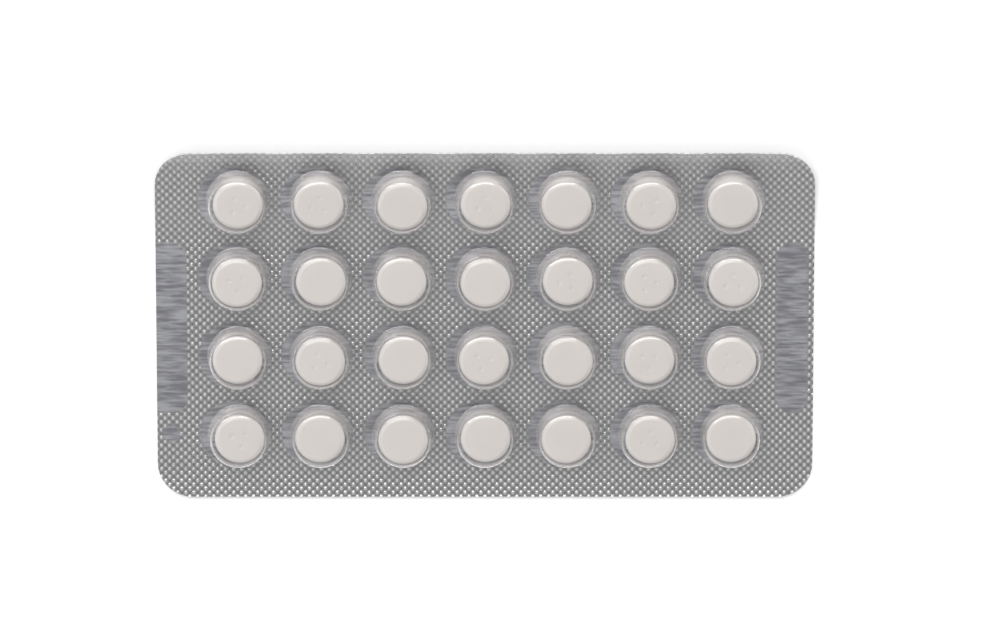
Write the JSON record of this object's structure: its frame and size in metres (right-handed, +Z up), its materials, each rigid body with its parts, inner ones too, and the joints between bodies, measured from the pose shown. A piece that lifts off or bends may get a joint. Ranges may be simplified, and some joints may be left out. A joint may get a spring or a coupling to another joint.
{
  "type": "pill blister pack",
  "caption": "Push-through pack of round white tablets, each in a clear formed pocket over a sealed aluminium foil back.",
  "frame": {"origin": "bottom centre of the pack's bounding box, on the surface that its foil lies on", "axes": "+X along the long side, +Y to the long edge that lifts most, +Z up out of the pockets"},
  "size_m": [0.1052, 0.0578, 0.0056],
  "materials": {
    "clear_film": "clear gloss plastic film",
    "foil": "embossed foil",
    "tablet_white": "matt pressed powder"
  },
  "bodies": {
    "root": {"blister_film": "clear_film", "lidding_foil": "foil", "tablet_row1_col1": "tablet_white", "tablet_row1_col2": "tablet_white", "tablet_row1_col3": "tablet_white", "tablet_row1_col4": "tablet_white", "tablet_row1_col5": "tablet_white", "tablet_row1_col6": "tablet_white", "tablet_row1_col7": "tablet_white", "tablet_row2_col1": "tablet_white", "tablet_row2_col2": "tablet_white", "tablet_row2_col3": "tablet_white", "tablet_row2_col4": "tablet_white", "tablet_row2_col5": "tablet_white", "tablet_row2_col6": "tablet_white", "tablet_row2_col7": "tablet_white", "tablet_row3_col1": "tablet_white", "tablet_row3_col2": "tablet_white", "tablet_row3_col3": "tablet_white", "tablet_row3_col4": "tablet_white", "tablet_row3_col5": "tablet_white", "tablet_row3_col6": "tablet_white", "tablet_row3_col7": "tablet_white", "tablet_row4_col1": "tablet_white", "tablet_row4_col2": "tablet_white", "tablet_row4_col3": "tablet_white", "tablet_row4_col4": "tablet_white", "tablet_row4_col5": "tablet_white", "tablet_row4_col6": "tablet_white", "tablet_row4_col7": "tablet_white"}
  },
  "joints": []
}
